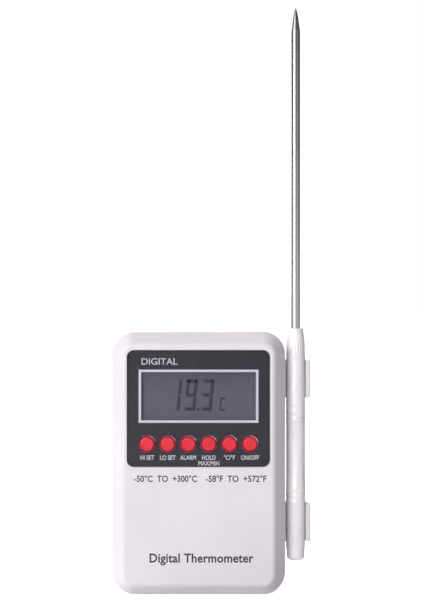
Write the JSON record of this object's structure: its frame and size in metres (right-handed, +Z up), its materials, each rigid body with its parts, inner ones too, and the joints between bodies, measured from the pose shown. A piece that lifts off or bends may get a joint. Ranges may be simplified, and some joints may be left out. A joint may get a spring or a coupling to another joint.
{
  "type": "digital probe thermometer",
  "caption": "Hand-held digital thermometer with a sloped white case, black display panel, row of round red keys, and a long steel probe clipped to its side.",
  "frame": {"origin": "middle of the case's flat base", "axes": "+Z up along the probe, X across the case with the probe on the +X side, -Y out of the front face"},
  "size_m": [0.0806, 0.0208, 0.2387],
  "materials": {
    "white_plastic": "fine satin moulding texture",
    "handle_plastic": "satin",
    "clear_lens": "polished and clear",
    "black_ink": "smooth screen print",
    "adhesive_film": "smooth",
    "polariser": "smooth film",
    "display_glass": "polished",
    "grey_plastic": "satin",
    "zebra_rubber": "matte",
    "board_laminate": "lacquered",
    "black_epoxy": "smooth",
    "bright_steel": "bright plated",
    "plated_steel": "zinc plated",
    "buzzer_brass": "smooth sheet",
    "silicone": "matte",
    "red_plastic": "satin",
    "carbon_rubber": "matte",
    "battery_film": "printed film",
    "wire_sheath": "satin",
    "black_rubber": "matte",
    "stainless_steel": "fine lengthwise polish",
    "potting_resin": "smooth"
  },
  "bodies": {
    "case": {"front_case": "white_plastic", "rear_case": "white_plastic", "front_lens": "clear_lens", "panel_print": "black_ink", "lens_adhesive": "adhesive_film", "lcd_front_polariser": "polariser", "lcd_front_glass": "display_glass", "lcd_rear_glass": "display_glass", "lcd_rear_polariser": "polariser", "lcd_holder": "grey_plastic", "zebra_strip": "zebra_rubber", "circuit_board": "board_laminate", "controller_chip": "black_epoxy", "quartz_crystal": "bright_steel", "chip_resistors": "black_epoxy", "buzzer": "buzzer_brass", "key_mat": "silicone", "board_screws": "plated_steel", "battery_jacket": "battery_film", "battery_spring": "plated_steel", "positive_contact": "plated_steel", "negative_contact": "plated_steel", "battery_wires": "wire_sheath", "case_screws": "plated_steel", "battery_cell": "bright_steel", "cable_grommet": "black_rubber"},
    "high_set_key": {"high_set_button": "red_plastic", "high_set_pill": "carbon_rubber"},
    "low_set_key": {"low_set_button": "red_plastic", "low_set_pill": "carbon_rubber"},
    "alarm_key": {"alarm_button": "red_plastic", "alarm_pill": "carbon_rubber"},
    "hold_key": {"hold_button": "red_plastic", "hold_pill": "carbon_rubber"},
    "unit_key": {"unit_button": "red_plastic", "unit_pill": "carbon_rubber"},
    "power_key": {"power_button": "red_plastic", "power_pill": "carbon_rubber"},
    "folding_stand": {"stand": "white_plastic"},
    "battery_cover": {"battery_door": "white_plastic"},
    "probe": {"probe_needle": "stainless_steel", "thermistor": "black_epoxy", "sensor_potting": "potting_resin", "probe_wires": "wire_sheath", "handle_nose": "handle_plastic", "handle_tube": "handle_plastic", "handle_end_cap": "handle_plastic"}
  },
  "joints": [
    {"name": "high_set_press", "type": "slide", "parent": "case", "child": "high_set_key", "axis": [0, 1, 0], "range_m": [0, 0.0009], "stiffness_N_per_m": 500, "springref_m": -0.0002, "deforming": ["key_mat"]},
    {"name": "low_set_press", "type": "slide", "parent": "case", "child": "low_set_key", "axis": [0, 1, 0], "range_m": [0, 0.0009], "stiffness_N_per_m": 500, "springref_m": -0.0002, "deforming": ["key_mat"]},
    {"name": "alarm_press", "type": "slide", "parent": "case", "child": "alarm_key", "axis": [0, 1, 0], "range_m": [0, 0.0009], "stiffness_N_per_m": 500, "springref_m": -0.0002, "deforming": ["key_mat"]},
    {"name": "hold_press", "type": "slide", "parent": "case", "child": "hold_key", "axis": [0, 1, 0], "range_m": [0, 0.0009], "stiffness_N_per_m": 500, "springref_m": -0.0002, "deforming": ["key_mat"]},
    {"name": "unit_press", "type": "slide", "parent": "case", "child": "unit_key", "axis": [0, 1, 0], "range_m": [0, 0.0009], "stiffness_N_per_m": 500, "springref_m": -0.0002, "deforming": ["key_mat"]},
    {"name": "power_press", "type": "slide", "parent": "case", "child": "power_key", "axis": [0, 1, 0], "range_m": [0, 0.0009], "stiffness_N_per_m": 500, "springref_m": -0.0002, "deforming": ["key_mat"]},
    {"name": "stand_hinge", "type": "hinge", "parent": "case", "child": "folding_stand", "pos_m": [0, 0.0087, 0.0619], "axis": [1, 0, 0], "range_deg": [0, 50]},
    {"name": "battery_door_hinge", "type": "hinge", "parent": "case", "child": "battery_cover", "pos_m": [0, 0.01, 0.00815], "axis": [-1, 0, 0], "range_deg": [0, 80]},
    {"name": "probe_pull", "type": "slide", "parent": "case", "child": "probe", "axis": [0, -1, 0], "range_m": [0, 0.025]}
  ]
}
